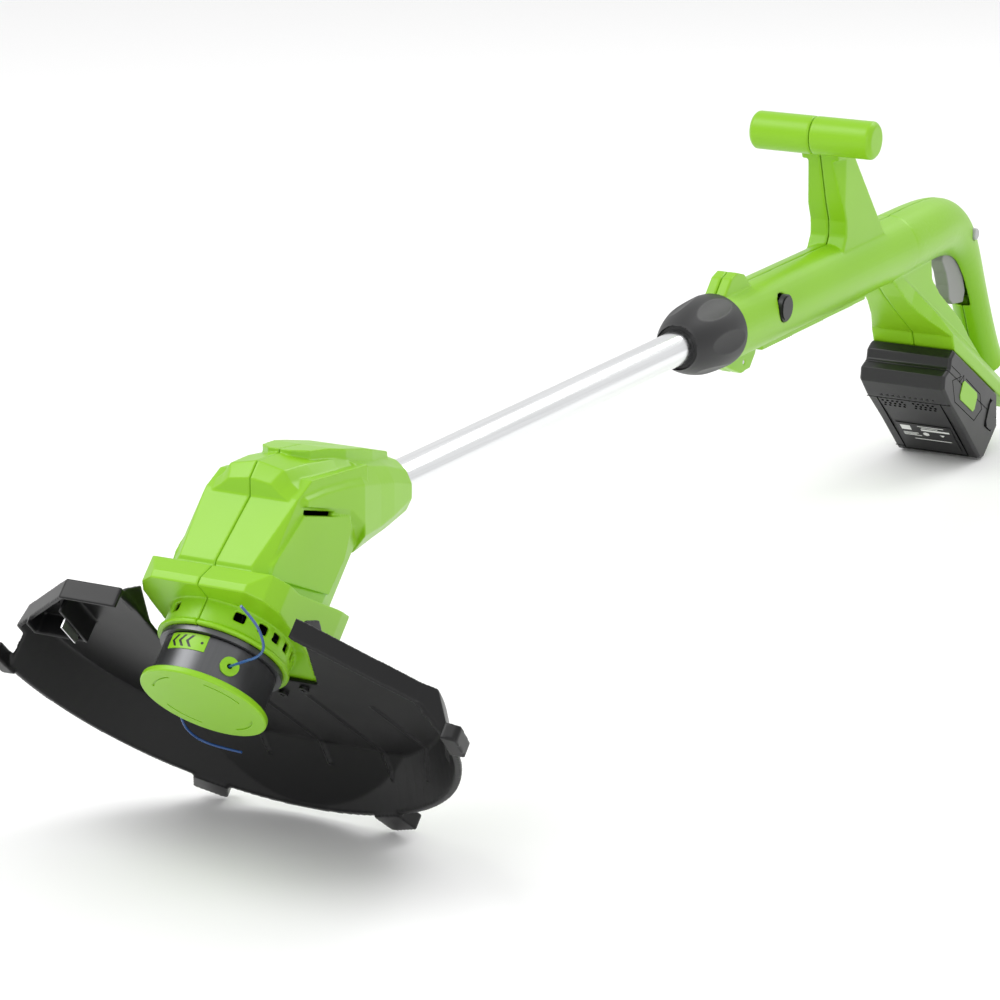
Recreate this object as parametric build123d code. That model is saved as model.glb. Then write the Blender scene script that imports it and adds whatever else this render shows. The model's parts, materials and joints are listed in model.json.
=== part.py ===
from build123d import *
import os
from math import atan2, cos, degrees, pi, radians, sin

# Cordless string trimmer and edger, lying as it rests on a floor.
# Everything is drawn in the tool's own frame and placed once at the end.
# Tool frame: +X runs along the shaft from the cutting head to the rear handle,
# y = 0 is the parting plane of both clamshells, +Z is the T-handle side.
# Head frame: origin at the spool cap, +Z up the motor axis, +X to the rear skirt.
# All sizes are millimetres.

# --- shaft ---------------------------------------------------------------
TUBE_R = 13.0              # outer radius of the aluminium tube
TUBE_WALL = 1.5
TUBE_HEAD_X = -42.0        # tube end inside the motor housing
TUBE_HANDLE_X = 720.0      # tube end inside the handle
FIT = 0.05                 # radial running clearance
GAP = 0.3                  # clearance between bodies that only pass each other

# --- placement -----------------------------------------------------------
FOOT_X, FOOT_Z = -59.3, -193.16       # guard feet contact in the tool frame
BATTERY_X, BATTERY_Z = 1014.0, -208.9  # battery contact in the tool frame
PITCH = degrees(atan2(FOOT_Z - BATTERY_Z, BATTERY_X - FOOT_X))
MID_X = 461.9              # tool-frame X of the middle of the whole object

# --- head ----------------------------------------------------------------
CAP_X, CAP_Z = -183.0, -81.2         # centre of the spool cap's face
HEAD_TILT = 45.3           # motor axis above the shaft direction, degrees
DRUM_R = 36.0
DRUM_TOP = 28.0            # axial height where the drum ends
CROWN_R = 39.5             # metal band above the drum
RING_R = 41.0              # skirt ring of the housing
RING_IN_R = 38.4
RING_RIM_R = 42.8          # thicker lower rim of the skirt ring
RING_LOW = 32.0
EYELET_ANGLE = 137.7       # line outlets round the drum, degrees
EYELET_S = 14.2
MOTOR_R = 23.0
MOTOR_LOW, MOTOR_HIGH = 64.0, 119.0
SHAFT_R = 2.5
WALL = 2.6                 # moulded wall thickness
SEAM = 0.06                # half of the gap between clamshell halves

# --- guard (head frame) --------------------------------------------------
PLATE_TOP = 41.0
GUARD_WALL = 2.8
RIM_R = 161.0
RIM_LOW = 9.0
LIP_LOW = 27.4
FEET = ((-84, 168.0), (-24, 177.0), (24, 177.0), (84, 168.0))    # angle, outer radius
CUT_HALF = 50.0            # half width of the cut-out for the housing
CUT_BACK = 33.0

# --- handle --------------------------------------------------------------
BARREL_R = 27.0
BARREL_X = 541.0
BORE_R = 23.6
NUT_X0, NUT_X1 = 474.0, 540.4
TBAR_X, TBAR_Z = 723.0, 119.5
TBAR_HALF, TBAR_R = 52.0, 15.2
STEM_HALF = 16.0

# --- battery -------------------------------------------------------------
RAIL_SLOPE = 30.0          # slope of the battery interface, degrees
RAIL_X, RAIL_Z = 925.0, -86.0        # front end of the interface plane
PACK_HALF = 38.5

HEAD = Plane(origin=(CAP_X, 0, CAP_Z),
             x_dir=(sin(radians(HEAD_TILT)), 0, -cos(radians(HEAD_TILT))),
             z_dir=(cos(radians(HEAD_TILT)), 0, sin(radians(HEAD_TILT))))
RAIL = Plane(origin=(RAIL_X, 0, RAIL_Z),
             x_dir=(cos(radians(RAIL_SLOPE)), 0, -sin(radians(RAIL_SLOPE))),
             z_dir=(sin(radians(RAIL_SLOPE)), 0, cos(radians(RAIL_SLOPE))))
# The floor is level: the tool frame is turned about Y, lifted and centred.
LIFT = -(FOOT_Z * cos(radians(PITCH)) + FOOT_X * sin(radians(PITCH)))
PLACE = Pos(-MID_X, 0, LIFT) * Rot(0, -PITCH, 0)

parts = {}


def rod(x0, x1, r, y=0.0, z=0.0):
    """Round bar along the shaft direction."""
    return Pos((x0 + x1) / 2, y, z) * Rot(0, 90, 0) * Cylinder(r, x1 - x0)


def cross_pin(x, z, r, half):
    """Round bar across the tool, from -half to +half."""
    return Pos(x, 0, z) * Rot(90, 0, 0) * Cylinder(r, 2 * half)


def slab(points, y0, y1):
    """Side-view outline (x, z) extruded from y0 to y1."""
    face = Plane.XZ * Polygon(*points, align=None)
    return Pos(0, y1, 0) * extrude(face, amount=y1 - y0, dir=(0, -1, 0))


def plan_prism(points, z0, z1):
    """Plan outline (x, y) extruded from z0 to z1."""
    return Pos(0, 0, z0) * extrude(Polygon(*points, align=None), amount=z1 - z0, dir=(0, 0, 1))


def front_prism(points, x0, x1):
    """Front-view outline (y, z) extruded from x0 to x1."""
    face = Plane.YZ * Polygon(*points, align=None)
    return Pos(x0, 0, 0) * extrude(face, amount=x1 - x0, dir=(1, 0, 0))


def head_disc(r, s0, s1):
    """Disc on the motor axis, in the tool frame."""
    return HEAD * (Pos(0, 0, (s0 + s1) / 2) * Cylinder(r, s1 - s0))


def head_box(v0, v1, w0, w1, s0, s1):
    """Box in the head frame, given by its limits."""
    middle = Pos((v0 + v1) / 2, (w0 + w1) / 2, (s0 + s1) / 2)
    return HEAD * (middle * Box(v1 - v0, w1 - w0, s1 - s0))


def rail_box(a0, a1, b0, b1, c0, c1):
    """Box in the battery rail frame, given by its limits."""
    middle = Pos((a0 + a1) / 2, (b0 + b1) / 2, (c0 + c1) / 2)
    return RAIL * (middle * Box(a1 - a0, b1 - b0, c1 - c0))


def halves(shell):
    """Left (+y) and right (-y) clamshell halves, a hair apart at the seam."""
    left = split(shell, bisect_by=Plane.XZ.offset(-SEAM), keep=Keep.BOTTOM)
    right = split(shell, bisect_by=Plane.XZ.offset(SEAM), keep=Keep.TOP)
    return left, right


def screw(head_r, head_h, shank_r, shank_h):
    """Pan head screw, head up, shank down from z = 0."""
    head = Pos(0, 0, head_h / 2) * Cylinder(head_r, head_h)
    recess = Pos(0, 0, head_h) * (Box(head_r * 1.1, 0.9, 1.6) + Box(0.9, head_r * 1.1, 1.6))
    return head + Pos(0, 0, -shank_h / 2) * Cylinder(shank_r, shank_h) - recess


# ------------------------------------------------------------------ motor housing
# Half outlines (y, z) of the block over the motor and of the neck round the tube, by X.
BLOCK = {-127: [(0, 46), (15, 44), (21, 39), (29, 34), (29, 32), (20, 32), (0, 32)],
         -118: [(0, 55), (19, 51), (24, 44), (36, 34), (36, 30), (24, 30), (0, 30)],
         -95: [(0, 54), (21, 50), (27, 43), (36, 33), (36, 24), (24, 16), (0, 10)],
         -66: [(0, 50), (22, 46), (29, 39), (36, 30), (36, 15.5), (24, -14), (0, -24)],
         -49: [(0, 47), (22, 43), (30, 36), (36, 27), (36, 2), (24, -20), (0, -24)]}
NECK = {-49: [(0, 47), (14, 46), (28, 40), (36, 27), (36, -6), (27, -18), (14, -23), (0, -24)],
        -19: [(0, 38.5), (13, 37.5), (25, 31), (30.5, 20), (30.5, -8), (23, -17), (12, -21.5), (0, -22)],
        3: [(0, 32.5), (12, 31), (22, 25), (27.5, 15), (27.5, -7), (21, -16), (11, -21), (0, -22)],
        38: [(21.4 * cos(radians(90 - 180 * k / 7)), 21.4 * sin(radians(90 - 180 * k / 7))) for k in range(8)]}
RIB_SIDE = [(-95, 56.5), (-66, 53), (-23, 42.8), (24, 28.5), (30, 0), (-96, 20)]
RIB_PLAN = [(-92, 8), (-84, 17), (-50, 23), (-10, 19), (26, 10)]
BODY_SIDE = [(-108, 44), (-125, 36), (-167, 4), (-169, -3), (-140, -50), (-96, -78), (-85, -50),
             (-62, -38), (-49, -28), (-40, -20), (-40, 38)]
BODY_SECTION = [(-52, 22), (-41, 33), (30, 33), (46, 29), (60, 18)]
PANEL_SIDE = [(-121, 25), (-158, 3), (-161, -4), (-92, -33), (-72, -15), (-63, 4), (-66, 11)]
FLARE_PLAN = [(-57, 33), (-49, 43), (-36, 48.5), (32, 48), (45, 46), (62, 20)]
FLARE_PROFILE = [(-57, 50), (-57, 55.5), (-50, 68), (-22, 71), (27, 88), (45, 93), (56, 84), (62, 60),
                 (62, 41.4), (33, 41.4), (10, 48), (-34, 50)]


def two_sided(points):
    """Closed outline from the points of its positive half."""
    return [(a, -b) for a, b in points] + points[::-1]


def shrink(points, wall):
    """Outline drawn in towards its middle by about one wall thickness."""
    xs = [p[0] for p in points]
    ys = [p[1] for p in points]
    cx, cy = (max(xs) + min(xs)) / 2, (max(ys) + min(ys)) / 2
    fx, fy = 1 - 2 * wall / (max(xs) - min(xs)), 1 - 2 * wall / (max(ys) - min(ys))
    return [(cx + (x - cx) * fx, cy + (y - cy) * fy) for x, y in points]


def side_prism(points, half):
    return slab(points, -half, half)


def ruled_body(stations, inset=0.0):
    """Ruled body through half outlines given by X, drawn in by inset."""
    faces = []
    for x in sorted(stations):
        middle = (stations[x][0][1] + stations[x][-1][1]) / 2
        half = []
        for y, z in stations[x]:
            half.append((max(y - inset, 0) if y else 0, z - inset if z > middle else z + inset))
        outline = [(-y, z) for y, z in half[1:-1]] + half[::-1]
        faces.append(Plane(origin=(x, 0, 0), x_dir=(0, 1, 0), z_dir=(1, 0, 0)) * Polygon(*outline, align=None))
    return loft(faces, ruled=True)


def housing_outer():
    rib = side_prism(RIB_SIDE, 50) & plan_prism(two_sided(RIB_PLAN), 0, 80)
    body = side_prism(BODY_SIDE, 60) & (HEAD * plan_prism(two_sided(BODY_SECTION), 40, 200))
    panel = side_prism(PANEL_SIDE, 35) & (HEAD * plan_prism(two_sided([(-44, 33), (-38, 36), (34, 36)]), 40, 200))
    flare = HEAD * (plan_prism(two_sided(FLARE_PLAN), 30, 110) & side_prism(FLARE_PROFILE, 60))
    skirt = head_disc(RING_R, RING_LOW, 60) + head_disc(RING_RIM_R, RING_LOW, RING_LOW + 2.6)
    return ruled_body(BLOCK) + ruled_body(NECK) + rib + body + panel + flare + skirt


def housing_cavity():
    """Everything that is hollow inside the head."""
    rotor_bay = head_disc(RING_IN_R, RING_LOW - 1, 54)
    section = shrink(two_sided(BODY_SECTION), 3.2)
    inner = side_prism(shrink(BODY_SIDE, 5.0), 60) & (HEAD * plan_prism(section, 60, 200))
    hall = [(-53, 54), (-47, 64.5), (-21, 67.5), (28, 84.5), (43, 89), (53, 81), (58.6, 60), (58.6, 45),
            (34, 45), (11, 51.4), (-33, 53.4)]
    inner += HEAD * (plan_prism(shrink(two_sided(FLARE_PLAN), 3.2), 30, 110) & side_prism(hall, 60))
    for s in (68, 90, 112):
        inner -= head_disc(60, s, s + 2.4)
    attic = {x: BLOCK[x] for x in (-118, -95, -66)}
    attic = ruled_body(attic, 3.2)
    throat = ruled_body({x: NECK[x] for x in (-49, -19, 3)}, 3.2)
    for x in (-37, -12):
        throat -= rod(x, x + 3, 60)
    motor_bay = head_disc(MOTOR_R + 0.1, 50, MOTOR_HIGH + 0.1)
    cap_bay = head_disc(14.0, MOTOR_HIGH - 1, 130)
    socket = rod(TUBE_HEAD_X, 40, TUBE_R + FIT)
    duct = rod(-84, TUBE_HEAD_X + 1, 9)
    return rotor_bay + inner + attic + throat + motor_bay + cap_bay + socket + duct


def vent_slots():
    """Square cooling slots round the skirt ring, both sides of the seam."""
    slots = []
    for side in (1, -1):
        for angle, width in ((146.3, 7.3), (123.6, 6.6), (108, 6.0), (92.3, 5.8), (75.3, 5.4)):
            turn = Rot(0, 0, side * angle)
            slots.append(HEAD * (turn * Pos(RING_R, 0, 44) * Box(8, width, 6)))
    return slots


def side_inlets():
    """Dark air inlet high on each flank."""
    hole = slab([(-118, 27.6), (-84, 18.4), (-85, 15.6), (-119, 24.8)], -60, -27)
    return hole, mirror(hole, Plane.XZ)


def motor_housing():
    outer = housing_outer()
    shell = outer - housing_cavity()
    for slot in vent_slots():
        shell -= slot
    for hole in side_inlets():
        shell -= hole
    screw_spots = [(-100, 36), (-28, 25), (-141, 6), (-100, -60)]
    for x, z in screw_spots:
        shell += cross_pin(x, z, 4.6, 50) & outer
        shell -= Pos(x, 36, z) * Rot(90, 0, 0) * Cylinder(3.4, 44)
        shell -= Pos(x, 2, z) * Rot(90, 0, 0) * Cylinder(1.6, 26)
    for v, w in GUARD_BOSSES:
        shell += HEAD * (Pos(v, w, 53) * Cylinder(4.2, 16.8))
        shell -= HEAD * (Pos(v, w, 50) * Cylinder(1.55, 18))
    left, right = halves(shell)
    parts["motor_housing_left"] = left
    parts["motor_housing_right"] = right
    screws = []
    for x, z in screw_spots:
        screws.append(Pos(x, 14, z) * Rot(-90, 0, 0) * screw(3.1, 2.2, 1.5, 24))
    parts["housing_screws"] = Compound(children=screws)



# ------------------------------------------------------------------ motor and rotor
def motor():
    can = head_disc(MOTOR_R, MOTOR_LOW, MOTOR_HIGH)
    can -= head_disc(MOTOR_R - 1.2, MOTOR_LOW + 1.5, MOTOR_HIGH + 1)
    can -= head_disc(6.0, MOTOR_LOW - 1, MOTOR_LOW + 2)
    parts["motor_can"] = can
    magnet = head_disc(MOTOR_R - 1.25, 70, 112) - head_disc(MOTOR_R - 5.5, 69, 113)
    keep = head_box(-30, 30, 4, 30, 60, 120)
    parts["motor_magnets"] = Compound(children=[magnet & keep, magnet & mirror(keep, Plane.XZ)])
    end_cap = head_disc(MOTOR_R - 1.25, 114, MOTOR_HIGH) + head_disc(13.8, MOTOR_HIGH, 127)
    parts["motor_end_cap"] = end_cap - head_disc(6.0, 110, 124.2) - head_disc(SHAFT_R + GAP, 110, 125)
    low = head_disc(6.0, MOTOR_LOW, 69) - head_disc(SHAFT_R + FIT, 60, 70)
    high = head_disc(6.0, 118.5, 124.2) - head_disc(SHAFT_R + FIT, 118, 125)
    parts["motor_bearings"] = Compound(children=[low, high])


def armature():
    core = head_disc(15.5, 76, 106) - head_disc(SHAFT_R, 70, 120)
    for i in range(6):
        core -= HEAD * (Rot(0, 0, 60 * i) * Pos(14, 0, 91) * Box(8, 3, 32))
    parts["armature"] = core
    parts["commutator"] = head_disc(6.5, 108, 113.5) - head_disc(SHAFT_R, 100, 120)
    parts["motor_shaft"] = head_disc(SHAFT_R, 12, 123.9)


def fan_and_hub():
    disc = head_disc(34, 50.5, 52.5) + head_disc(7, 44, 52.5)
    for i in range(12):
        disc += HEAD * (Rot(0, 0, 30 * i) * Pos(22, 0, 47.5) * Rot(0, 0, 24) * Box(20, 1.6, 6.4))
    parts["cooling_fan"] = disc - head_disc(SHAFT_R, 40, 60)
    hub = head_disc(13, 23.0, 25.5) + head_disc(6, 12.5, 28.25)
    parts["drive_hub"] = hub - head_disc(SHAFT_R, 10, 30)


def spool_drum():
    drum = head_disc(DRUM_R, 3.1, DRUM_TOP) - head_disc(DRUM_R - 2.2, 3, DRUM_TOP - 2.4)
    drum -= head_disc(6.1, 20, 32)
    drum = fillet(drum.edges().filter_by(GeomType.CIRCLE).sort_by_distance(HEAD.location.position)[-1:], 0.5)
    for angle in (EYELET_ANGLE, EYELET_ANGLE - 180):
        drum -= HEAD * (Rot(0, 0, -angle) * Pos(DRUM_R, 0, EYELET_S) * Rot(0, 90, 0) * Cylinder(4.2, 12))
    parts["spool_drum"] = drum
    crown = head_disc(CROWN_R, DRUM_TOP + 0.3, 31.5) - head_disc(30, 29.8, 36) + head_disc(13, 28.3, 40)
    crown -= head_disc(SHAFT_R, 20, 45)
    parts["drum_crown"] = crown


def spool_cap():
    cap = head_disc(40.9, -1.2, 3.0)
    cap = fillet(cap.edges().filter_by(GeomType.CIRCLE), 1.1)
    for start in (20, 110, 200, 290):
        arc = Pos(0, 0, -1.2) * (Cylinder(32.5, 1.2) - Cylinder(31.3, 1.2))
        wedge = Rot(0, 0, start) * Pos(24, 14, -1) * Box(40, 22, 6)
        cap -= HEAD * (arc & wedge)
    for i in range(4):
        leg = Pos(32, 0, 6.5) * Box(1.8, 9, 7) + Pos(32.5, 0, 9.2) * Box(1.6, 9, 1.6)
        cap += HEAD * (Rot(0, 0, 45 + 90 * i) * leg)
    parts["spool_cap"] = cap


def line_reel():
    reel = head_disc(30.5, 4.0, 5.4) + head_disc(30.5, 19.0, 20.4) + head_disc(15, 4.0, 20.4)
    parts["line_reel"] = reel - head_disc(8.2, 3, 22)
    winding = head_disc(27, 5.45, 18.95) - head_disc(15.05, 5, 20)
    parts["wound_line"] = winding
    wire = Helix(pitch=3.4, height=13.6, radius=7.1)
    coil = sweep(Plane(origin=wire @ 0, z_dir=wire % 0) * Circle(0.5), path=wire, is_frenet=True)
    parts["reel_spring"] = HEAD * (Pos(0, 0, 4.2) * coil)


def eyelets():
    rings = []
    for angle in (EYELET_ANGLE, EYELET_ANGLE - 180):
        ring = Cylinder(6.0, 1.4) + Pos(0, 0, -2) * Cylinder(4.1, 3) - Cylinder(1.75, 12)
        rings.append(HEAD * (Rot(0, 0, -angle) * Pos(DRUM_R + 0.75, 0, EYELET_S) * Rot(0, 90, 0) * ring))
    flat = [r - head_disc(DRUM_R - 2.1, 0, 30) for r in rings]
    parts["line_eyelets"] = Compound(children=flat)


def direction_label():
    skin = Pos(0, 0, 22.3) * (Cylinder(DRUM_R + 0.45, 10.6) - Cylinder(DRUM_R + 0.02, 12))
    parts["direction_label"] = HEAD * (skin & Pos(-DRUM_R, 4.65, 22.3) * Box(30, 27.3, 20))


# Free ends of the cutting line: hand-set route in the head frame (x, y, z).
LINE_R = 0.85
FRONT_ROUTE = [(-27.0, -24.6, 14.2), (-38, -38, 13.6), (-51, -56, 13.0), (-66, -67, 12.6),
               (-84, -73, 12.4), (-101, -76, 12.8), (-118, -74, 13.2)]
REAR_ROUTE = [(27.0, 24.6, 14.2), (38, 37, 13.6), (51, 46, 13.0), (65, 51, 12.4),
              (79, 53, 12.2), (90, 49, 12.0), (96, 38, 12.2), (98, 22, 12.4)]


def corner_radii(route):
    """Largest tangent-arc radius at each inner point of a route."""
    points = [Vector(*p) for p in route]
    radii = []
    for before, here, after in zip(points, points[1:], points[2:]):
        turn = radians((here - before).get_angle(after - here))
        shorter = min((here - before).length, (after - here).length)
        radii.append(0.45 * shorter / (sin(turn / 2) / cos(turn / 2)))
    return radii


def cutting_line(name, route):
    radii = corner_radii(route)
    path = FilletPolyline(*route, radius=radii)
    tube = sweep(Plane(origin=path @ 0, z_dir=path % 0) * Circle(LINE_R), path=path)
    ratio = tube.volume / (pi * LINE_R ** 2 * path.length)
    print(name, "radii", [round(r, 1) for r in radii])
    print(name, "length", round(path.length, 1), "volume ratio", round(ratio, 4))
    parts[name] = HEAD * tube


def cutting_lines():
    cutting_line("cutting_line_front", FRONT_ROUTE)
    cutting_line("cutting_line_rear", REAR_ROUTE)


# ------------------------------------------------------------------ guard
def guard_solid(i, s0, s1):
    """Guard envelope moved in by i, between axial heights s0 and s1 (head frame)."""
    slope = (RIM_R - 142.0) / (PLATE_TOP - RIM_LOW)
    low_r = 142.0 + slope * (PLATE_TOP - s0) - i
    high_r = 142.0 + slope * (PLATE_TOP - s1) - i
    cone = Pos(0, 0, s0) * Cone(low_r, high_r, s1 - s0, align=(Align.CENTER, Align.CENTER, Align.MIN))
    cutter_side = [(220, 176), (8 + i, 176), (0 + i, 150 - i / 2), (-55 + i, 90 - i / 2)]
    open_side = [(-55 + i, -72 + i / 2), (7 + i, -133 + i / 2), (17 + i, -152), (40, -176), (220, -176)]
    rear = [(-80, -10), (119 + 1.42 * (PLATE_TOP + 10) - 1.7 * i, -10),
            (119 - 1.42 * 19 - 1.7 * i, 60), (-80, 60)]
    return cone & plan_prism(cutter_side + open_side, 0, 80) & slab(rear, -180, 180)


def guard():
    shell = guard_solid(0, RIM_LOW, PLATE_TOP) - guard_solid(GUARD_WALL, RIM_LOW - 3, PLATE_TOP - GUARD_WALL)
    shell -= slab([(-90, LIP_LOW), (9, LIP_LOW), (26, 3), (-90, 3)], -200, 200)
    bead = Pos(0, 0, RIM_LOW + 1.6) * (Cylinder(RIM_R + 1.2, 3.2) - Cylinder(RIM_R - 2.6, 5))
    shell += bead & Pos(110, 0, 10) * Box(192, 400, 20)
    for angle, reach in FEET:
        foot = Pos(reach - 9, 0, RIM_LOW + 3.2) * Box(19, 24, 10.4)
        foot = fillet(foot.edges().filter_by(Axis.Z), 2.5)
        shell += Rot(0, 0, angle) * foot - Pos(0, 0, 12) * Cylinder(RIM_R - 3, 30)
    for w in (-100, -58, -16, 26, 68):
        rib = Rot(0, 0, -21) * Pos(110, w, 30) * Box(150, 1.8, 19)
        reach = Pos(90, 0, 30) * Box(80, 400, 30)
        shell += rib & reach & (guard_solid(1.5, 12, PLATE_TOP - 1) - guard_solid(5, 0, 37.0))
    shell -= Pos(0, 0, 40) * Cylinder(RING_RIM_R + 0.4, 30)
    shell -= plan_prism([(-90, CUT_HALF), (CUT_BACK, CUT_HALF), (CUT_BACK, -CUT_HALF), (-48, -72), (-90, -72)], 10, 70)
    for v, w in GUARD_BOSSES:
        shell += Pos(v, w, 42.5) * Cylinder(4.2, 3.6) & Pos(v, w, 39.6) * Box(20, 20, 3.2)
        shell -= Pos(v, w, 40) * Cylinder(1.7, 20)
    pocket = Pos(-24, 112, 32) * Box(40, 40, 18) - Pos(-25.5, 112, 29) * Box(40, 35.4, 18)
    shell += pocket & guard_solid(0.2, 8, PLATE_TOP)
    shell += slab([(-52, 36), (-50, 43), (-36, 53), (-8, 40)], CUT_HALF + 0.3, CUT_HALF + 2.9)
    shell += slab([(-49, 36), (-46, 44), (-34, 51), (-8, 40)], -75.2, -72.6)
    parts["guard"] = HEAD * shell


GUARD_BOSSES = [(40, 38), (40, -38), (52, 18), (52, -18)]


def guard_fasteners():
    plate_low = PLATE_TOP - GUARD_WALL
    screws = [HEAD * (Pos(v, w, plate_low) * Rot(180, 0, 0) * screw(3.3, 2.2, 1.5, 16)) for v, w in GUARD_BOSSES]
    parts["guard_screws"] = Compound(children=screws)
    blade = Pos(-22, 95.4, 24) * Box(20, 1.0, 12)
    parts["line_cutter"] = HEAD * blade



# ------------------------------------------------------------------ shaft
def shaft():
    parts["shaft_tube"] = (rod(TUBE_HEAD_X, TUBE_HANDLE_X, TUBE_R)
                           - rod(TUBE_HEAD_X - 1, TUBE_HANDLE_X + 1, TUBE_R - TUBE_WALL))
    bush = rod(TUBE_HANDLE_X - 22, TUBE_HANDLE_X + 3, BORE_R - 0.08)
    bush -= rod(TUBE_HANDLE_X - 30, TUBE_HANDLE_X + 0.02, TUBE_R + FIT)
    bush -= rod(TUBE_HANDLE_X - 30, TUBE_HANDLE_X + 10, TUBE_R - 2.5)
    parts["guide_bush"] = bush
    parts["coiled_lead"] = rod(300, 836, 5.0)
    collar = rod(504, 536, 17.2) - rod(500, 540, TUBE_R + FIT + 0.03)
    for i in range(4):
        collar -= Pos(512, 0, 0) * Rot(45 + 90 * i, 0, 0) * Pos(0, 0, 16) * Box(30, 1.6, 10)
    parts["clamp_collet"] = collar
    parts["collar_ring"] = rod(NUT_X0 + 3.0, NUT_X0 + 8.0, 16.4) - rod(NUT_X0, NUT_X0 + 12, TUBE_R + FIT + 0.03)


def collar_nut():
    outline = Polyline((NUT_X0, 0), (NUT_X0, 16.9), (NUT_X0 + 3, 18.0))
    bulge = ThreePointArc((NUT_X0 + 3, 18.0), (497, 25.3), (NUT_X1, 28.2))
    close = Polyline((NUT_X1, 28.2), (NUT_X1, 0), (NUT_X0, 0))
    nut = revolve(Plane.XZ * make_face(outline + bulge + close), axis=Axis.X)
    nut -= rod(NUT_X0 - 1, 500, TUBE_R + 0.5) + rod(NUT_X0 - 1, NUT_X0 + 8.3, 16.7)
    nut -= rod(499, 542, 20.9)
    for i in range(6):
        scoop = Pos(496, 0, 64.2) * Rot(0, -7, 0) * Rot(0, 90, 0) * Cylinder(40, 70)
        nut -= Rot(30 + 60 * i, 0, 0) * scoop
    parts["collar_nut"] = nut


# ------------------------------------------------------------------ handle shells
# Centre line of the rear loop: x, z, direction below +X in degrees, half depth, half width.
LOOP = [(880, 0.5, 0, 27, 27), (900, 0.7, 0.5, 27, 27), (920, 0.9, 1, 26.8, 26.5), (940, 1, 2, 26.5, 26), (984, -2, 14, 25.5, 23), (1018, -14, 34, 22.5, 20),
        (1043, -37, 51, 19.5, 17.5), (1065, -70, 58, 17.5, 16), (1084, -103, 60, 17.5, 16),
        (1097, -128, 62, 19, 17), (1104, -146, 68, 22, 20)]


def loop_sections(inset):
    sections = []
    for x, z, down, depth, width in LOOP:
        a = radians(down)
        plane = Plane(origin=(x, 0, z), x_dir=(0, 1, 0), z_dir=(cos(a), 0, -sin(a)))
        sections.append(plane * Ellipse(width - inset, depth - inset))
    return sections


def mount_outline(i):
    """Battery mount in side view, between barrel, loop and rail plane."""
    return [(836 + i, 0), (842 + i, -14), (873 + i, -39 + i), (904 + i, -61 + i), (939 + i, -84 + i),
            (945 + i, -98 + i), (1088, -180 + i), (1106 - i, -166), (1090, -152 - i), (1063, -133 - i),
            (1029, -106 - i), (1007, -86 - i), (991 - i, -75 - i), (955 - i, -52), (937 - i, -36),
            (933 - i, -19), (936 - i, 0)]


def mount(i):
    side = slab(mount_outline(i), -45, 45)
    section = [(38 - i, -60), (38 - i, 10), (30 - i, 19), (18 - i, 29), (18 - i, 120)]
    front = front_prism([(-y, z) for y, z in section] + section[::-1], -140, 240)
    flanks = [(-140, 15 - i), (-52, 20 - i), (-20, 27 - i), (12, 37 - i), (240, 40 - i)]
    limits = RAIL * (front & plan_prism(two_sided(flanks), -60, 120))
    tail = [(800, 45), (1062, 45), (1096 - i, 24 - i), (1114 - i, 18 - i)]
    return side & limits & plan_prism(two_sided(tail), -230, 50)


def stem_outline(i):
    return [(724 + i, 118), (733 + i, 100), (746 + i, 62), (753 + i, 46), (754 + i, 34), (743 + i, 14),
            (843 - 1.4 * i, 12), (816 - 1.4 * i, 42), (765 - i, 99), (748 - i, 118)]


def stem(i):
    body = slab(stem_outline(i), -STEM_HALF + i, STEM_HALF - i)
    for side in (1, -1):
        corner = [(730, side * (STEM_HALF - 7 - i)), (754, side * (STEM_HALF + 2)),
                  (700, side * (STEM_HALF + 2))]
        body -= plan_prism(corner, 30, 98)
    return body


def tbar(i):
    bar = Rot(90, 0, 0) * Cylinder(TBAR_R - i, 2 * (TBAR_HALF - i))
    if not i:
        bar = chamfer(bar.edges().filter_by(GeomType.CIRCLE), 3.0)
        bar = fillet(bar.edges().filter_by(GeomType.CIRCLE), 1.0)
    return Pos(TBAR_X, 0, TBAR_Z) * bar


def lugs():
    top = slab([(541, 20), (541, 27), (552, 38), (562, 41), (576, 37), (592, 22)], -8.5, 8.5)
    low = slab([(541, -20), (545, -28), (556, -33), (574, -40), (590, -39), (600, -29), (600, -20)], -8.5, 8.5)
    return top + low


def rack():
    """Finely toothed rail under the barrel."""
    rail = slab([(604, -20), (604, -28.2), (806, -28.2), (806, -20)], -12, 12)
    for i in range(50):
        rail -= Pos(606 + 4 * i, 0, -28.6) * Rot(0, 45, 0) * Box(2.0, 30, 2.0)
    return rail


def handle_outer():
    body = rod(BARREL_X, 881, BARREL_R) + loft(loop_sections(0))
    body += mount(0) + stem(0) + tbar(0) + lugs() + rack()
    neck = rod(508, BARREL_X + 2, 20.4)
    return body + neck


def handle_cavity():
    bore = rod(545, 862, BORE_R)
    mouth = rod(500, 546, 17.4)
    hump = loft(loop_sections(3.0)[:10]) + rod(875, 886, 24)
    well = mount(3.0) - slab([(1080, 0), (1200, 0), (1200, -220), (1080, -220)], -50, 50)
    hollow_stem = stem(3.0) & slab([(700, 104), (900, 104), (900, -10), (700, -10)], -40, 40)
    return bore + mouth + hump + well + hollow_stem + tbar(3.2)


def trigger_slot():
    """Gap in the loop that the trigger swings through."""
    return slab([(982, -17), (1020, -12), (1040, -24), (1066, -70), (1060, -84), (1010, -84),
                 (982, -44)], -6.8, 6.8)


BUTTON_X, BUTTON_Z = 1028.0, -14.0
PLUG_X, PLUG_Z = 613.0, 5.5
HANDLE_SCREWS = [(578, -32, 5), (792, 34, 10), (766, 62, 10), (925, -54, 11), (1072, -84, 11), (1040, -136, 24)]


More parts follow.
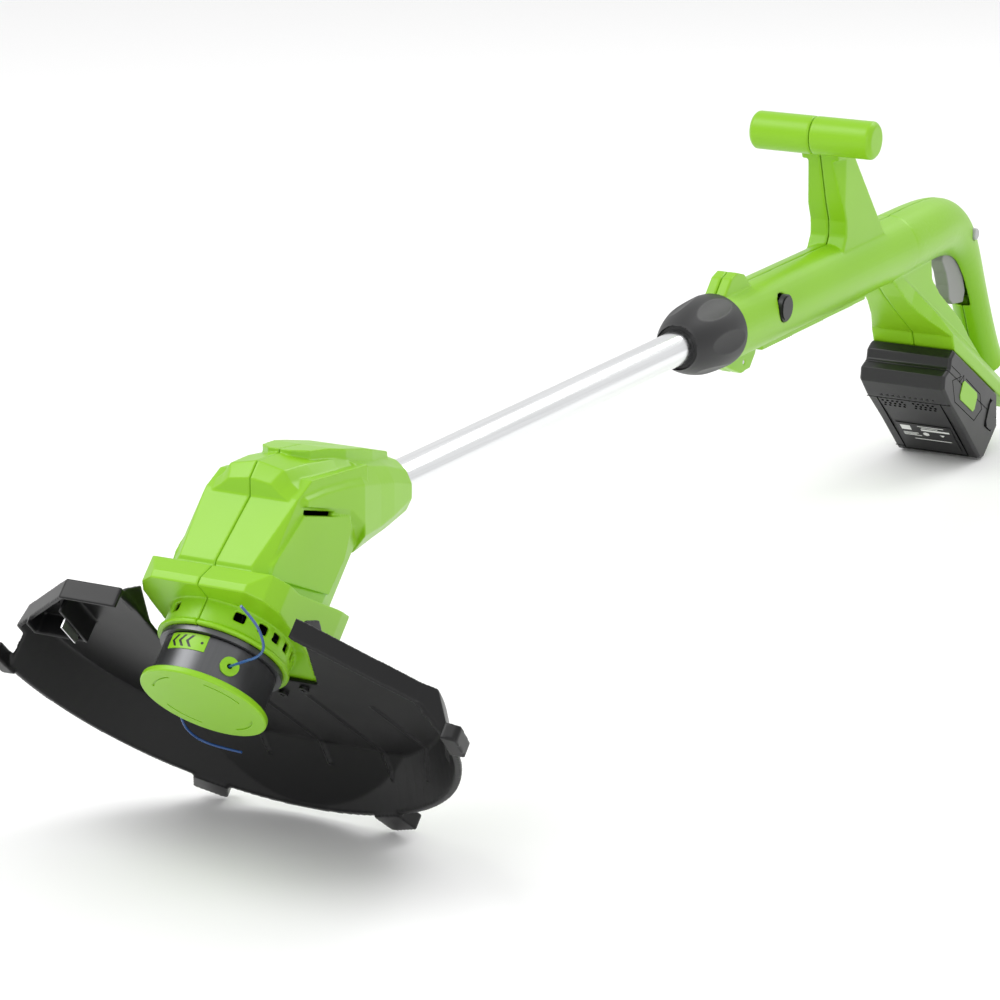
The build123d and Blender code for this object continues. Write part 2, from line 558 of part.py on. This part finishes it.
def handle_shells():
    outer = handle_outer()
    shell = outer - handle_cavity() - trigger_slot()
    shell -= rail_box(26, 220, -22, 22, -40, 7.2)
    shell -= rail_box(-30, 240, -60, 60, -60, 0)
    for side in (1, -1):
        shell += rail_box(26, 128, min(side * 19, side * 24), max(side * 19, side * 24), 0, 2.7)
        shell += rail_box(24, 150, min(side * 22, side * 24), max(side * 22, side * 24), 0, 9.6)
    shell += rail_box(24, 150, -24, 24, 7.2, 9.6) + rail_box(23.6, 26, -24, 24, 0, 9.6)
    shell -= rail_box(22.6, 44.4, -17.3, 17.3, 7.1, 18)
    shell -= cross_pin(BUTTON_X, BUTTON_Z, 5.3, 40)
    shell -= cross_pin(PLUG_X, PLUG_Z, 10.9, 40) - rod(540, 700, BORE_R)
    shell -= cross_pin(TRIGGER_X, TRIGGER_Z, 2.05, 14)
    for x, z, y in HANDLE_SCREWS:
        shell += cross_pin(x, z, 4.8, 60) & outer
    left = halves(shell)[0]
    right = mirror(left, Plane.XZ)
    for x, z, y in HANDLE_SCREWS:
        left -= Pos(x, y + 15, z) * Rot(90, 0, 0) * Cylinder(3.4, 34)
        left -= Pos(x, y / 2 - 1, z) * Rot(90, 0, 0) * Cylinder(1.6, y + 2)
        right -= Pos(x, -5, z) * Rot(90, 0, 0) * Cylinder(1.6, 14)
    parts["handle_shell_left"] = left
    parts["handle_shell_right"] = right
    fasteners = [Pos(x, y - 2, z) * Rot(-90, 0, 0) * screw(3.1, 2.2, 1.5, y + 6) for x, z, y in HANDLE_SCREWS]
    parts["handle_screws"] = Compound(children=fasteners)


def side_plugs():
    for name, side in (("side_plug_right", -1), ("side_plug_left", 1)):
        plug = Pos(0, side * 25.8, 0) * Rot(90, 0, 0) * Cylinder(10.6, 3.6)
        cap = Pos(0, side * 28.0, 0) * Rot(90, 0, 0) * Cylinder(9.2, 1.4)
        parts[name] = Pos(PLUG_X, 0, PLUG_Z) * (plug + cap)


# ------------------------------------------------------------------ controls
TRIGGER_X, TRIGGER_Z = 1010.0, -25.0
SWITCH_X, SWITCH_Z, SWITCH_TURN = 1057.0, -51.8, -35.6


def trigger():
    outline = [(990, -22), (1014, -17), (1028, -26), (1034, -48), (1044, -68), (1040, -78), (1016, -75),
               (1007, -69), (1004, -56), (998, -44), (988, -32)]
    lever = slab(outline, -6.2, 6.2)
    lever = fillet(lever.edges().filter_by(Axis.Y), 2.0)
    lever = fillet(lever.edges().group_by(Axis.Y)[0] + lever.edges().group_by(Axis.Y)[-1], 1.2)
    parts["trigger"] = lever - cross_pin(TRIGGER_X, TRIGGER_Z, 2.05, 10)
    parts["trigger_pin"] = cross_pin(TRIGGER_X, TRIGGER_Z, 2.0, 13)


def lock_button():
    pin = cross_pin(BUTTON_X, BUTTON_Z, 5.0, 21.5)
    parts["lock_off_button"] = chamfer(pin.edges().filter_by(GeomType.CIRCLE), 0.8)


def switch_parts():
    """Switch in the grip; its plunger points square at the back of the trigger."""
    body = Box(14, 14, 26) - Pos(-3, 0, 0) * Rot(0, 90, 0) * Cylinder(3.2, 20)
    plunger = Pos(-8.6, 0, 0) * Rot(0, 90, 0) * Cylinder(3.0, 16.8)
    seat = Pos(SWITCH_X, 0, SWITCH_Z) * Rot(0, SWITCH_TURN, 0)
    parts["switch_module"] = seat * body
    parts["switch_plunger"] = seat * plunger


# ------------------------------------------------------------------ battery
def battery_outline(i):
    """Pack in side view, rail frame (a, c)."""
    return [(20 + i, -0.4 - i), (15 + i, -9), (17.5 + i, -17), (10 + i, -27), (15 + i, -37.5 + i),
            (36, -43.5 + i), (80, -51 + i), (134, -62.2 + i), (143.75 - i, -58.97 + i), (159 - i, -25),
            (141 - i, -0.4 - i)]


def pack_body(i):
    return slab(battery_outline(i), -PACK_HALF + i, PACK_HALF - i)


def battery():
    solid = pack_body(0)
    solid = chamfer(solid.edges().group_by(Axis.Y)[0] + solid.edges().group_by(Axis.Y)[-1], 2.0)
    tongue = Pos(84, 0, 1.0) * Box(112, 37, 5) + Pos(84, 0, 5.0) * Box(112, 43, 3.6)
    case = solid + tongue
    case -= pack_body(2.6)
    for row in range(2):
        for k in range(10):
            case -= Pos(34 + 6 * row, -24 + 5.2 * k + 2.6 * row, -38) * Cylinder(1.1, 12)
    for side in (1, -1):
        case -= Pos(136, side * PACK_HALF, -22) * Box(18.6, 12, 24.6)
    for y in (-12, -4, 4, 12):
        case -= Pos(35, y - 0.7, 1.4) * Box(18, 3.6, 13.4)
    upper = split(case, bisect_by=Plane.XY.offset(-20 + SEAM), keep=Keep.TOP)
    lower = split(case, bisect_by=Plane.XY.offset(-20 - SEAM), keep=Keep.BOTTOM)
    parts["battery_case_upper"] = RAIL * upper
    parts["battery_case_lower"] = RAIL * lower
    cells = [Pos(31 + 19.2 * k, 0, -18.5) * Rot(90, 0, 0) * Cylinder(9.1, 65) for k in range(5)]
    cells.append(Pos(118, 0, -42) * Rot(90, 0, 0) * Cylinder(9.1, 65))
    parts["battery_cells"] = Compound(children=[RAIL * c for c in cells])
    board = Pos(78, 0, -6.5) * Box(106, 60, 1.6)
    parts["battery_board"] = RAIL * board
    blades = [RAIL * (Pos(35, y, 0.6) * Box(10, 0.8, 10)) for y in (-12, -4, 4, 12)]
    parts["pack_terminals"] = Compound(children=blades)
    for name, side in (("battery_latch_right", -1), ("battery_latch_left", 1)):
        pad = Pos(136, side * (PACK_HALF - 1.0), -22) * Box(18, 4.2, 24)
        parts[name] = RAIL * chamfer(pad.edges().filter_by(Axis.Y), 4)


def battery_labels():
    slope = degrees(atan2(62.2 - 51, 134 - 80))
    plate = Pos(104, 0, -56.35) * Rot(0, slope, 0) * Box(42, 50, 0.5)
    parts["battery_label"] = RAIL * plate
    badge = Pos(74, -PACK_HALF - 0.3, -24) * Box(40, 0.6, 17)
    badge = chamfer(badge.edges().filter_by(Axis.Y), 3)
    parts["battery_badge"] = RAIL * badge


def battery_dock():
    block = rail_box(23, 27.2, -17, 17, 7.3, 16) + rail_box(23, 44, -17, 17, 8.2, 16)
    parts["dock_block"] = block
    blades = [rail_box(29, 42, y - 1.9, y - 0.9, 3.4, 8.1) for y in (-12, -4, 4, 12)]
    parts["dock_terminals"] = Compound(children=blades)


for build in (motor_housing, motor, armature, fan_and_hub, spool_drum, spool_cap, line_reel, eyelets,
              direction_label, cutting_lines, guard, guard_fasteners, shaft, collar_nut, handle_shells,
              side_plugs, trigger, lock_button, switch_parts, battery, battery_labels, battery_dock):
    build()

os.makedirs("parts", exist_ok=True)
for name, shape in parts.items():
    export_step(PLACE * shape, f"parts/{name}.step")
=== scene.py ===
import json
from math import cos, pi, radians, sin

import bmesh
import bpy
from mathutils import Matrix, Vector


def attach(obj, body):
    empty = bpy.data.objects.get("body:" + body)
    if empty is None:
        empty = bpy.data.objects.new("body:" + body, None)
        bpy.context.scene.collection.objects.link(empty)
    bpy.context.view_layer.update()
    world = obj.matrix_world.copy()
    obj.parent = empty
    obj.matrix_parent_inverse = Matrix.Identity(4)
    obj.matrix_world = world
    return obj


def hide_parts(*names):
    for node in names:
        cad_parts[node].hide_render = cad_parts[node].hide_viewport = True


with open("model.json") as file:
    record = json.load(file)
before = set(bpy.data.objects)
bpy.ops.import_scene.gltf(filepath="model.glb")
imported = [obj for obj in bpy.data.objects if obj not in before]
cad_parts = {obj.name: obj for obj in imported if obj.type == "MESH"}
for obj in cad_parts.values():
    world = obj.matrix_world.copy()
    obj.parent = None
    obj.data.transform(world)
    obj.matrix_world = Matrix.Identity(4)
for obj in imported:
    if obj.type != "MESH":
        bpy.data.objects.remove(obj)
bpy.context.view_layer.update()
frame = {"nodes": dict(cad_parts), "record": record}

# Cordless string trimmer and edger. Metres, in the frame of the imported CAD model.

MM = 0.001

# --- tool frame in the world: the shaft is pitched a little and lifted off the floor
PITCH = radians(0.84019)
LIFT = 0.19400878
MID_X = 0.4619
TO_WORLD = Matrix.Translation((-MID_X, 0, LIFT)) @ Matrix.Rotation(-PITCH, 4, "Y")
HEAD_TILT = radians(45.3)
HEAD = TO_WORLD @ Matrix(((sin(HEAD_TILT), 0, cos(HEAD_TILT), -0.183),
                          (0, 1, 0, 0),
                          (-cos(HEAD_TILT), 0, sin(HEAD_TILT), -0.0812),
                          (0, 0, 0, 1)))
RAIL_SLOPE = radians(30)
RAIL = TO_WORLD @ Matrix(((cos(RAIL_SLOPE), 0, sin(RAIL_SLOPE), 0.925),
                          (0, 1, 0, 0),
                          (-sin(RAIL_SLOPE), 0, cos(RAIL_SLOPE), -0.086),
                          (0, 0, 0, 1)))

# --- colours (linear)
LIME = (0.232, 0.505, 0.010)
BLACK = (0.0060, 0.0060, 0.0064)
DARK = (0.0130, 0.0130, 0.0138)
PACK_BLACK = (0.0080, 0.0080, 0.0086)
GREY = (0.260, 0.260, 0.256)
PALE = (0.420, 0.430, 0.425)
ALUMINIUM = (0.86, 0.87, 0.88)
STEEL = (0.60, 0.60, 0.61)
LINE_BLUE = (0.015, 0.070, 0.240)
FLOOR_WHITE = (0.93, 0.93, 0.93)

# --- studio: lights as name, place, aim, size, power
LIGHTS = [("key", (-1.2, 1.6, 2.6), (0, 0, 0.1), (1.8, 1.8), 42),
          ("fill", (-2.6, -2.2, 1.4), (0, 0, 0.1), (2.4, 1.6), 22),
          ("rim", (2.2, -0.6, 2.4), (0.2, 0, 0.2), (1.6, 1.6), 26)]
SKY_STRENGTH = 0.85
FLOOR_DROP = 0.0005
CAMERA_AT = (-2.56864, -1.21806, 0.85110)
CAMERA_TURN = (74.9156, -0.7224, -61.9536)
LENS = 142.1


# ------------------------------------------------------------------ materials
def new_material(name, base, rough, metallic=0.0, coat=0.0, specular=0.5):
    """Material with one Principled shader; returns the material, its nodes, links and shader."""
    material = bpy.data.materials.new(name)
    material.use_nodes = True
    nodes = material.node_tree.nodes
    links = material.node_tree.links
    shader = nodes["Principled BSDF"]
    shader.inputs["Base Color"].default_value = (*base, 1)
    shader.inputs["Roughness"].default_value = rough
    shader.inputs["Metallic"].default_value = metallic
    shader.inputs["Coat Weight"].default_value = coat
    shader.inputs["Coat Roughness"].default_value = 0.12
    shader.inputs["Specular IOR Level"].default_value = specular
    return material, nodes, links, shader


def noise(nodes, links, scale, detail=3.0, rough=0.5, coords="Object", stretch=(1, 1, 1)):
    place = nodes.new("ShaderNodeTexCoord")
    mapping = nodes.new("ShaderNodeMapping")
    mapping.inputs["Scale"].default_value = stretch
    texture = nodes.new("ShaderNodeTexNoise")
    texture.inputs["Scale"].default_value = scale
    texture.inputs["Detail"].default_value = detail
    texture.inputs["Roughness"].default_value = rough
    links.new(place.outputs[coords], mapping.inputs["Vector"])
    links.new(mapping.outputs["Vector"], texture.inputs["Vector"])
    return texture.outputs["Fac"]


def ramp(nodes, links, value, stops):
    """Colour ramp from (position, colour) stops."""
    node = nodes.new("ShaderNodeValToRGB")
    elements = node.color_ramp.elements
    while len(elements) < len(stops):
        elements.new(0.5)
    for element, (position, colour) in zip(elements, stops):
        element.position = position
        element.color = (*colour, 1)
    links.new(value, node.inputs["Fac"])
    return node.outputs["Color"]


def spread(nodes, links, value, low, high):
    """Maps a 0-1 value to low-high."""
    node = nodes.new("ShaderNodeMapRange")
    node.inputs["To Min"].default_value = low
    node.inputs["To Max"].default_value = high
    links.new(value, node.inputs["Value"])
    return node.outputs["Result"]


def bump(nodes, links, shader, height, strength, distance, chain=None):
    node = nodes.new("ShaderNodeBump")
    node.inputs["Strength"].default_value = strength
    node.inputs["Distance"].default_value = distance
    links.new(height, node.inputs["Height"])
    if chain:
        links.new(chain, node.inputs["Normal"])
    links.new(node.outputs["Normal"], shader.inputs["Normal"])
    return node.outputs["Normal"]


def tint(colour, factor):
    return tuple(min(1.0, c * factor) for c in colour)


def moulded(name, base, rough, grain=900, grain_depth=0.00002, variation=0.05, coat=0.0, specular=0.5):
    """Injection-moulded plastic: slow colour drift, rubbed sheen and a fine spark-eroded grain."""
    material, nodes, links, shader = new_material(name, base, rough, coat=coat, specular=specular)
    drift = noise(nodes, links, 9, 2)
    colour = ramp(nodes, links, drift, [(0.3, tint(base, 1 - variation)), (0.7, tint(base, 1 + variation))])
    links.new(colour, shader.inputs["Base Color"])
    smear = noise(nodes, links, 26, 4, 0.6)
    links.new(spread(nodes, links, smear, rough - 0.05, rough + 0.06), shader.inputs["Roughness"])
    fine = noise(nodes, links, grain, 2, 0.6)
    waves = noise(nodes, links, 14, 1)
    first = bump(nodes, links, shader, waves, 0.25, 0.0008)
    bump(nodes, links, shader, fine, 0.35, grain_depth, first)
    return material


def drawn_metal(name, base, rough, stretch, metallic=1.0):
    """Metal with fine drawing lines along one direction."""
    material, nodes, links, shader = new_material(name, base, rough, metallic=metallic)
    lines = noise(nodes, links, 420, 3, 0.6, stretch=stretch)
    colour = ramp(nodes, links, lines, [(0.25, tint(base, 0.93)), (0.75, tint(base, 1.05))])
    links.new(colour, shader.inputs["Base Color"])
    links.new(spread(nodes, links, lines, rough - 0.06, rough + 0.10), shader.inputs["Roughness"])
    bump(nodes, links, shader, lines, 0.12, 0.00003)
    return material


MAT = {
    "lime": moulded("lime_plastic", LIME, 0.34, variation=0.03, specular=0.40),
    "guard": moulded("guard_black", BLACK, 0.36, grain=700, variation=0.10, specular=0.30),
    "black": moulded("black_plastic", BLACK, 0.42, grain=1100, variation=0.12),
    "soft": moulded("soft_touch_black", DARK, 0.46, grain=1500, variation=0.10),
    "battery": moulded("battery_black", PACK_BLACK, 0.40, grain=1300, grain_depth=0.00004, variation=0.10),
    "grey": moulded("grey_plastic", GREY, 0.48, grain=1200, variation=0.05),
    "pale": moulded("pale_grey_plastic", PALE, 0.44, grain=1200, variation=0.04),
    "tube": drawn_metal("bright_tube", ALUMINIUM, 0.20, (0.01, 1, 1)),
    "steel": drawn_metal("zinc_steel", STEEL, 0.30, (1, 1, 1)),
    "drum": drawn_metal("metallic_drum", (0.125, 0.127, 0.132), 0.30, (0.02, 1, 0.02), metallic=0.85),
    "copper": drawn_metal("copper_bars", (0.60, 0.30, 0.14), 0.28, (1, 1, 0.2)),
    "brass": drawn_metal("brass_contact", (0.62, 0.48, 0.22), 0.25, (1, 1, 1)),
    "ferrite": moulded("ferrite", (0.03, 0.03, 0.033), 0.62, variation=0.15),
    "board": moulded("solder_mask", (0.010, 0.085, 0.030), 0.30, variation=0.1),
    "wrap": moulded("cell_wrap", (0.02, 0.13, 0.24), 0.28, variation=0.05),
    "label": moulded("label_film", (0.003, 0.003, 0.003), 0.30, variation=0.05),
    "print": moulded("printed_white", (0.80, 0.81, 0.78), 0.40, variation=0.05),
    # painted shade: glossless near-black for the plates set in vent holes, grooves and seams, standing in
    # for the shade inside them
    "painted_shade": moulded("painted_shade_black", (0.002, 0.002, 0.002), 0.9, specular=0.0),
    "line": moulded("nylon_line", LINE_BLUE, 0.22, variation=0.15, specular=0.6),
}

NODE_MATERIALS = {
    "lime": ["motor_housing_left", "motor_housing_right", "handle_shell_left", "handle_shell_right",
             "spool_cap", "direction_label", "line_eyelets", "battery_badge"],
    "guard": ["guard"],
    "black": ["cooling_fan", "drive_hub", "line_reel", "guide_bush", "clamp_collet", "collar_ring",
              "coiled_lead", "side_plug_left", "side_plug_right", "switch_module", "dock_block",
              "motor_end_cap", "guard_screws"],
    "soft": ["collar_nut"],
    "battery": ["battery_case_upper", "battery_case_lower", "battery_latch_left", "battery_latch_right"],
    "grey": ["trigger", "switch_plunger"],
    "pale": ["lock_off_button"],
    "tube": ["shaft_tube"],
    "steel": ["handle_screws", "housing_screws", "motor_shaft", "trigger_pin", "reel_spring",
              "line_cutter", "motor_bearings", "motor_can", "armature"],
    "drum": ["spool_drum", "drum_crown"],
    "copper": ["commutator"],
    "brass": ["dock_terminals", "pack_terminals"],
    "ferrite": ["motor_magnets"],
    "board": ["battery_board"],
    "wrap": ["battery_cells"],
    "label": ["battery_label"],
    "line": ["wound_line", "cutting_line_front", "cutting_line_rear"],
}
for key, names in NODE_MATERIALS.items():
    for node in names:
        mesh = frame["nodes"][node].data
        mesh.materials.clear()
        mesh.materials.append(MAT[key])

BODY_OF = {node: body for body, nodes in frame["record"]["behaviour"]["bodies"].items() for node in nodes}


# ------------------------------------------------------------------ mesh helpers
def add_object(name, mesh, material):
    piece = bpy.data.objects.new(name, mesh)
    bpy.context.scene.collection.objects.link(piece)
    if material:
        mesh.materials.clear()
        mesh.materials.append(material)
    return piece


def settle(piece):
    """Applies every modifier of a piece to its mesh."""
    bpy.context.view_layer.update()
    graph = bpy.context.evaluated_depsgraph_get()
    mesh = bpy.data.meshes.new_from_object(piece.evaluated_get(graph))
    piece.modifiers.clear()
    piece.data = mesh


def mount_piece(piece, body, replaced=()):
    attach(piece, body)
    if replaced:
        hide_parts(*replaced)


def soften(node, voxel, rounds, ratio=0.5):
    """Moulded copy of a CAD node: remeshed, edges rounded by smoothing, then thinned out."""
    source = frame["nodes"][node]
    piece = add_object(node + "_moulded", source.data.copy(), source.data.materials[0])
    remesh = piece.modifiers.new("remesh", "REMESH")
    remesh.mode = "VOXEL"
    remesh.voxel_size = voxel
    smooth = piece.modifiers.new("round", "SMOOTH")
    smooth.factor = 0.5
    smooth.iterations = rounds
    thin = piece.modifiers.new("thin", "DECIMATE")
    thin.ratio = ratio
    settle(piece)
    material = source.data.materials[0]
    piece.data.materials.clear()
    piece.data.materials.append(material)
    for polygon in piece.data.polygons:
        polygon.use_smooth = True
        polygon.material_index = 0
    mount_piece(piece, BODY_OF[node], [node])
    return piece


# ------------------------------------------------------------------ moulded shells
HEAD_VOXEL, HANDLE_VOXEL = 0.7 * MM, 0.9 * MM
for node in ("motor_housing_left", "motor_housing_right"):
    soften(node, HEAD_VOXEL, 5)
for node in ("handle_shell_left", "handle_shell_right"):
    soften(node, HANDLE_VOXEL, 5)
soften("guard", 1.0 * MM, 3)
soften("trigger", 0.5 * MM, 6)
soften("collar_nut", 0.6 * MM, 5)
soften("battery_case_upper", 0.7 * MM, 3)
soften("battery_case_lower", 0.7 * MM, 3)


# ------------------------------------------------------------------ cutting line
def cutting_line(name, points):
    """Free end of the nylon line: one smooth spline through the listed control points."""
    curve = bpy.data.curves.new(name, "CURVE")
    curve.dimensions = "3D"
    spline = curve.splines.new("NURBS")
    spline.points.add(len(points) - 1)
    for control, point in zip(spline.points, points):
        control.co = (*(HEAD @ Vector(point)), 1)
    spline.order_u = 3
    spline.use_endpoint_u = True
    spline.resolution_u = 12
    curve.bevel_depth = 0.85 * MM
    curve.bevel_resolution = 5
    curve.use_fill_caps = True
    curve.materials.append(MAT["line"])
    piece = bpy.data.objects.new(name, curve)
    bpy.context.scene.collection.objects.link(piece)
    mount_piece(piece, "rotor", [name.replace("_nylon", "")])


FRONT_ROUTE = [(-0.0270, -0.0246, 0.0142), (-0.038, -0.038, 0.0136), (-0.051, -0.056, 0.0130),
               (-0.066, -0.067, 0.0126), (-0.084, -0.073, 0.0124), (-0.101, -0.076, 0.0128),
               (-0.118, -0.074, 0.0132)]
REAR_ROUTE = [(0.0270, 0.0246, 0.0142), (0.038, 0.037, 0.0136), (0.051, 0.046, 0.0130),
              (0.065, 0.051, 0.0124), (0.079, 0.053, 0.0122), (0.090, 0.049, 0.0120),
              (0.096, 0.038, 0.0122), (0.098, 0.022, 0.0124)]
cutting_line("cutting_line_front_nylon", FRONT_ROUTE)
cutting_line("cutting_line_rear_nylon", REAR_ROUTE)


# ------------------------------------------------------------------ printed and raised details, and painted shade in vents, grooves and seams
def plates(name, outlines, low, high, place, material, body):
    """Thin plates in one mesh: outlines extruded from low to high, put in place by a function."""
    build = bmesh.new()
    for outline in outlines:
        bottom = [build.verts.new(place(u, v, low)) for u, v in outline]
        top = [build.verts.new(place(u, v, high)) for u, v in outline]
        build.faces.new(bottom[::-1])
        build.faces.new(top)
        count = len(outline)
        for k in range(count):
            build.faces.new((bottom[k], bottom[(k + 1) % count], top[(k + 1) % count], top[k]))
    bmesh.ops.recalc_face_normals(build, faces=build.faces)
    mesh = bpy.data.meshes.new(name)
    build.to_mesh(mesh)
    build.free()
    piece = add_object(name, mesh, MAT[material])
    mount_piece(piece, body)


def strip(start, end, width):
    """Outline of a straight line of some width."""
    along = (Vector(end) - Vector(start)).normalized() * width / 2
    side = Vector((-along.y, along.x))
    a, b = Vector(start) - along, Vector(end) + along
    return [tuple(a + side), tuple(a - side), tuple(b - side), tuple(b + side)]


def lines(points, width):
    """Strips from point to point."""
    return [strip(a, b, width) for a, b in zip(points, points[1:])]


def disc(u, v, radius_u, radius_v, count=12):
    """Outline of a round or oval spot with some number of corners."""
    turns = [2 * k * pi / count for k in range(count)]
    return [(u + radius_u * cos(turn), v + radius_v * sin(turn)) for turn in turns]


def box_outline(u0, u1, v0, v1):
    return [(u0, v0), (u1, v0), (u1, v1), (u0, v1)]


def on_drum(u, v, height):
    """Drum surface: u degrees round the axis, v along it (mm), height off the axis (mm)."""
    angle = radians(u)
    return HEAD @ Vector((height * cos(angle) * MM, -height * sin(angle) * MM, v * MM))


# Lower face of the battery in side view: along the rail and height over it (mm).
LOWER_FACE = [(36, -43.5), (80, -51), (134, -62.2)]


def on_flank(u, v, height):
    """Right flank of the battery: u and v in the rail frame (mm), height outwards (mm)."""
    return RAIL @ Vector((u * MM, -height * MM, v * MM))


def on_nose(u, v, height):
    """Sloping lower face of the battery: u along the rail, v across (mm), height inwards (mm)."""
    (u0, c0), (u1, c1) = LOWER_FACE[:2] if u < LOWER_FACE[1][0] else LOWER_FACE[1:]
    level = c0 + (u - u0) * (c1 - c0) / (u1 - u0)
    return RAIL @ Vector((u * MM, v * MM, (level + height) * MM))


# Drum print: heights along the axis and radii in mm, angles round the drum in degrees.
PRINT_S, PRINT_HALF = 22.3, 3.9
PRINT_LOW, PRINT_HIGH = 36.42, 36.56
CHEVRON_ANGLES = (203.5, 194.5, 185.5)
DOT_ANGLE = 170.5


def direction_print():
    """Three arrows and a dot on the drum's direction label."""
    marks = [disc(DOT_ANGLE, PRINT_S, 1.5, 0.9)]
    top, bottom = PRINT_S + PRINT_HALF, PRINT_S - PRINT_HALF
    for centre in CHEVRON_ANGLES:
        upper = [(centre + 3.0, PRINT_S), (centre - 2.4, top), (centre - 5.4, top)]
        lower = [(centre - 0.4, PRINT_S), (centre - 5.4, bottom), (centre - 2.4, bottom)]
        marks.append(upper + lower)
    plates("direction_chevrons", marks, PRINT_LOW, PRINT_HIGH, on_drum, "black", "rotor")


# Battery details in mm: u along the rail, v across it or up the flank.
VENT_U, VENT_ROW_STEP, VENT_COLUMN_STEP, VENT_R = 44, 4.2, 4.4, 1.15
VENT_STARTS = (25.0, -3.0)
FRAME_OUTLINE = [(39, 29), (131, 29), (131, -29), (39, -29)]
LABEL_BLOCKS = [(87, 94.5, 13, 22), (91.5, 94.0, -22, 4)]
LABEL_LINES = [(86.5, -18, 6), (89.0, -12, 3), (99, 8, 22), (101, 10, 22), (103, 6, 22), (109, -20, 14)]
PARTING_LINE = [(20, -14), (44, -14), (47, -20), (53, -12), (56, -18), (96, -18)]
PANEL_FRONT = [(30, -24), (48, -14.5)]
PANEL_LOW = [(30, -24), (46, -38), (100, -38), (112, -24)]
PANEL_REAR = [(112, -24), (100, -14), (60, -13)]


def battery_vents():
    """Two groups of round vents on the battery's lower face, the middle row set half a step aside: flat
    black discs, painted shade in place of the vent holes.
    """
    vents = []
    for row in range(3):
        for column in range(5):
            for start in VENT_STARTS:
                across = start - VENT_COLUMN_STEP * column - 1.4 * (row % 2)
                vents.append(disc(VENT_U + VENT_ROW_STEP * row, across, VENT_R, VENT_R))
    plates("battery_vents", vents, -0.22, 0.4, on_nose, "painted_shade", "battery")


def battery_frame_lines():
    """Grooves round the panel that holds the vents and the label, drawn as flat black strips of painted
    shade.
    """
    grooves = lines(FRAME_OUTLINE, 0.7)
    grooves += lines([(39, 38.0), (39, -38.0)], 0.5) + lines([(128, 37.5), (128, 29)], 0.5)
    plates("battery_frame_lines", grooves, -0.20, 0.4, on_nose, "painted_shade", "battery")


def battery_label_print():
    """Plain bars and shapes in place of the printed label."""
    prints = [box_outline(*block) for block in LABEL_BLOCKS]
    for u, v0, v1 in LABEL_LINES:
        prints.append(box_outline(u, u + 0.8, v0, v1))
    prints += [disc(99.5, 1, 3.0, 3.0, 6), disc(99.5, -14, 2.2, 2.6, 3)]
    plates("battery_label_print", prints, -0.78, -0.55, on_nose, "print", "battery")


def battery_side_lines():
    """Zigzag parting line and panel outline on the right flank, drawn as flat black strips of painted shade
    in the seams and grooves.
    """
    seams = lines(PARTING_LINE, 0.5) + lines(PANEL_FRONT, 0.5)
    seams += lines(PANEL_LOW, 0.6) + lines(PANEL_REAR, 0.6)
    plates("battery_side_lines", seams, 38.3, 38.62, on_flank, "painted_shade", "battery")


direction_print()
battery_vents()
battery_frame_lines()
battery_label_print()
battery_side_lines()


# ------------------------------------------------------------------ stage, light, camera
def stage_floor():
    mesh = bpy.data.meshes.new("floor")
    build = bmesh.new()
    bmesh.ops.create_grid(build, x_segments=2, y_segments=2, size=30)
    build.to_mesh(mesh)
    build.free()
    material = new_material("floor_white", FLOOR_WHITE, 0.6)[0]
    floor = add_object("floor", mesh, material)
    floor.location.z = -FLOOR_DROP


def area_light(name, place, aim, size, power):
    light = bpy.data.lights.new(name, "AREA")
    light.shape = "RECTANGLE"
    light.size, light.size_y = size
    light.energy = power
    lamp = bpy.data.objects.new(name, light)
    bpy.context.scene.collection.objects.link(lamp)
    lamp.location = place
    lamp.rotation_mode = "QUATERNION"
    lamp.rotation_quaternion = (Vector(aim) - Vector(place)).to_track_quat("-Z", "Y")


def studio():
    stage_floor()
    for name, place, aim, size, power in LIGHTS:
        area_light(name, place, aim, size, power)
    world = bpy.data.worlds.new("studio")
    world.use_nodes = True
    world.node_tree.nodes["Background"].inputs["Color"].default_value = (1, 1, 1, 1)
    world.node_tree.nodes["Background"].inputs["Strength"].default_value = SKY_STRENGTH
    bpy.context.scene.world = world
    bpy.context.scene.view_settings.view_transform = "Standard"


def camera():
    data = bpy.data.cameras.new("camera")
    data.sensor_width = 36
    data.lens = LENS
    eye = bpy.data.objects.new("camera", data)
    bpy.context.scene.collection.objects.link(eye)
    eye.location = CAMERA_AT
    eye.rotation_euler = [radians(angle) for angle in CAMERA_TURN]
    bpy.context.scene.camera = eye


studio()
camera()
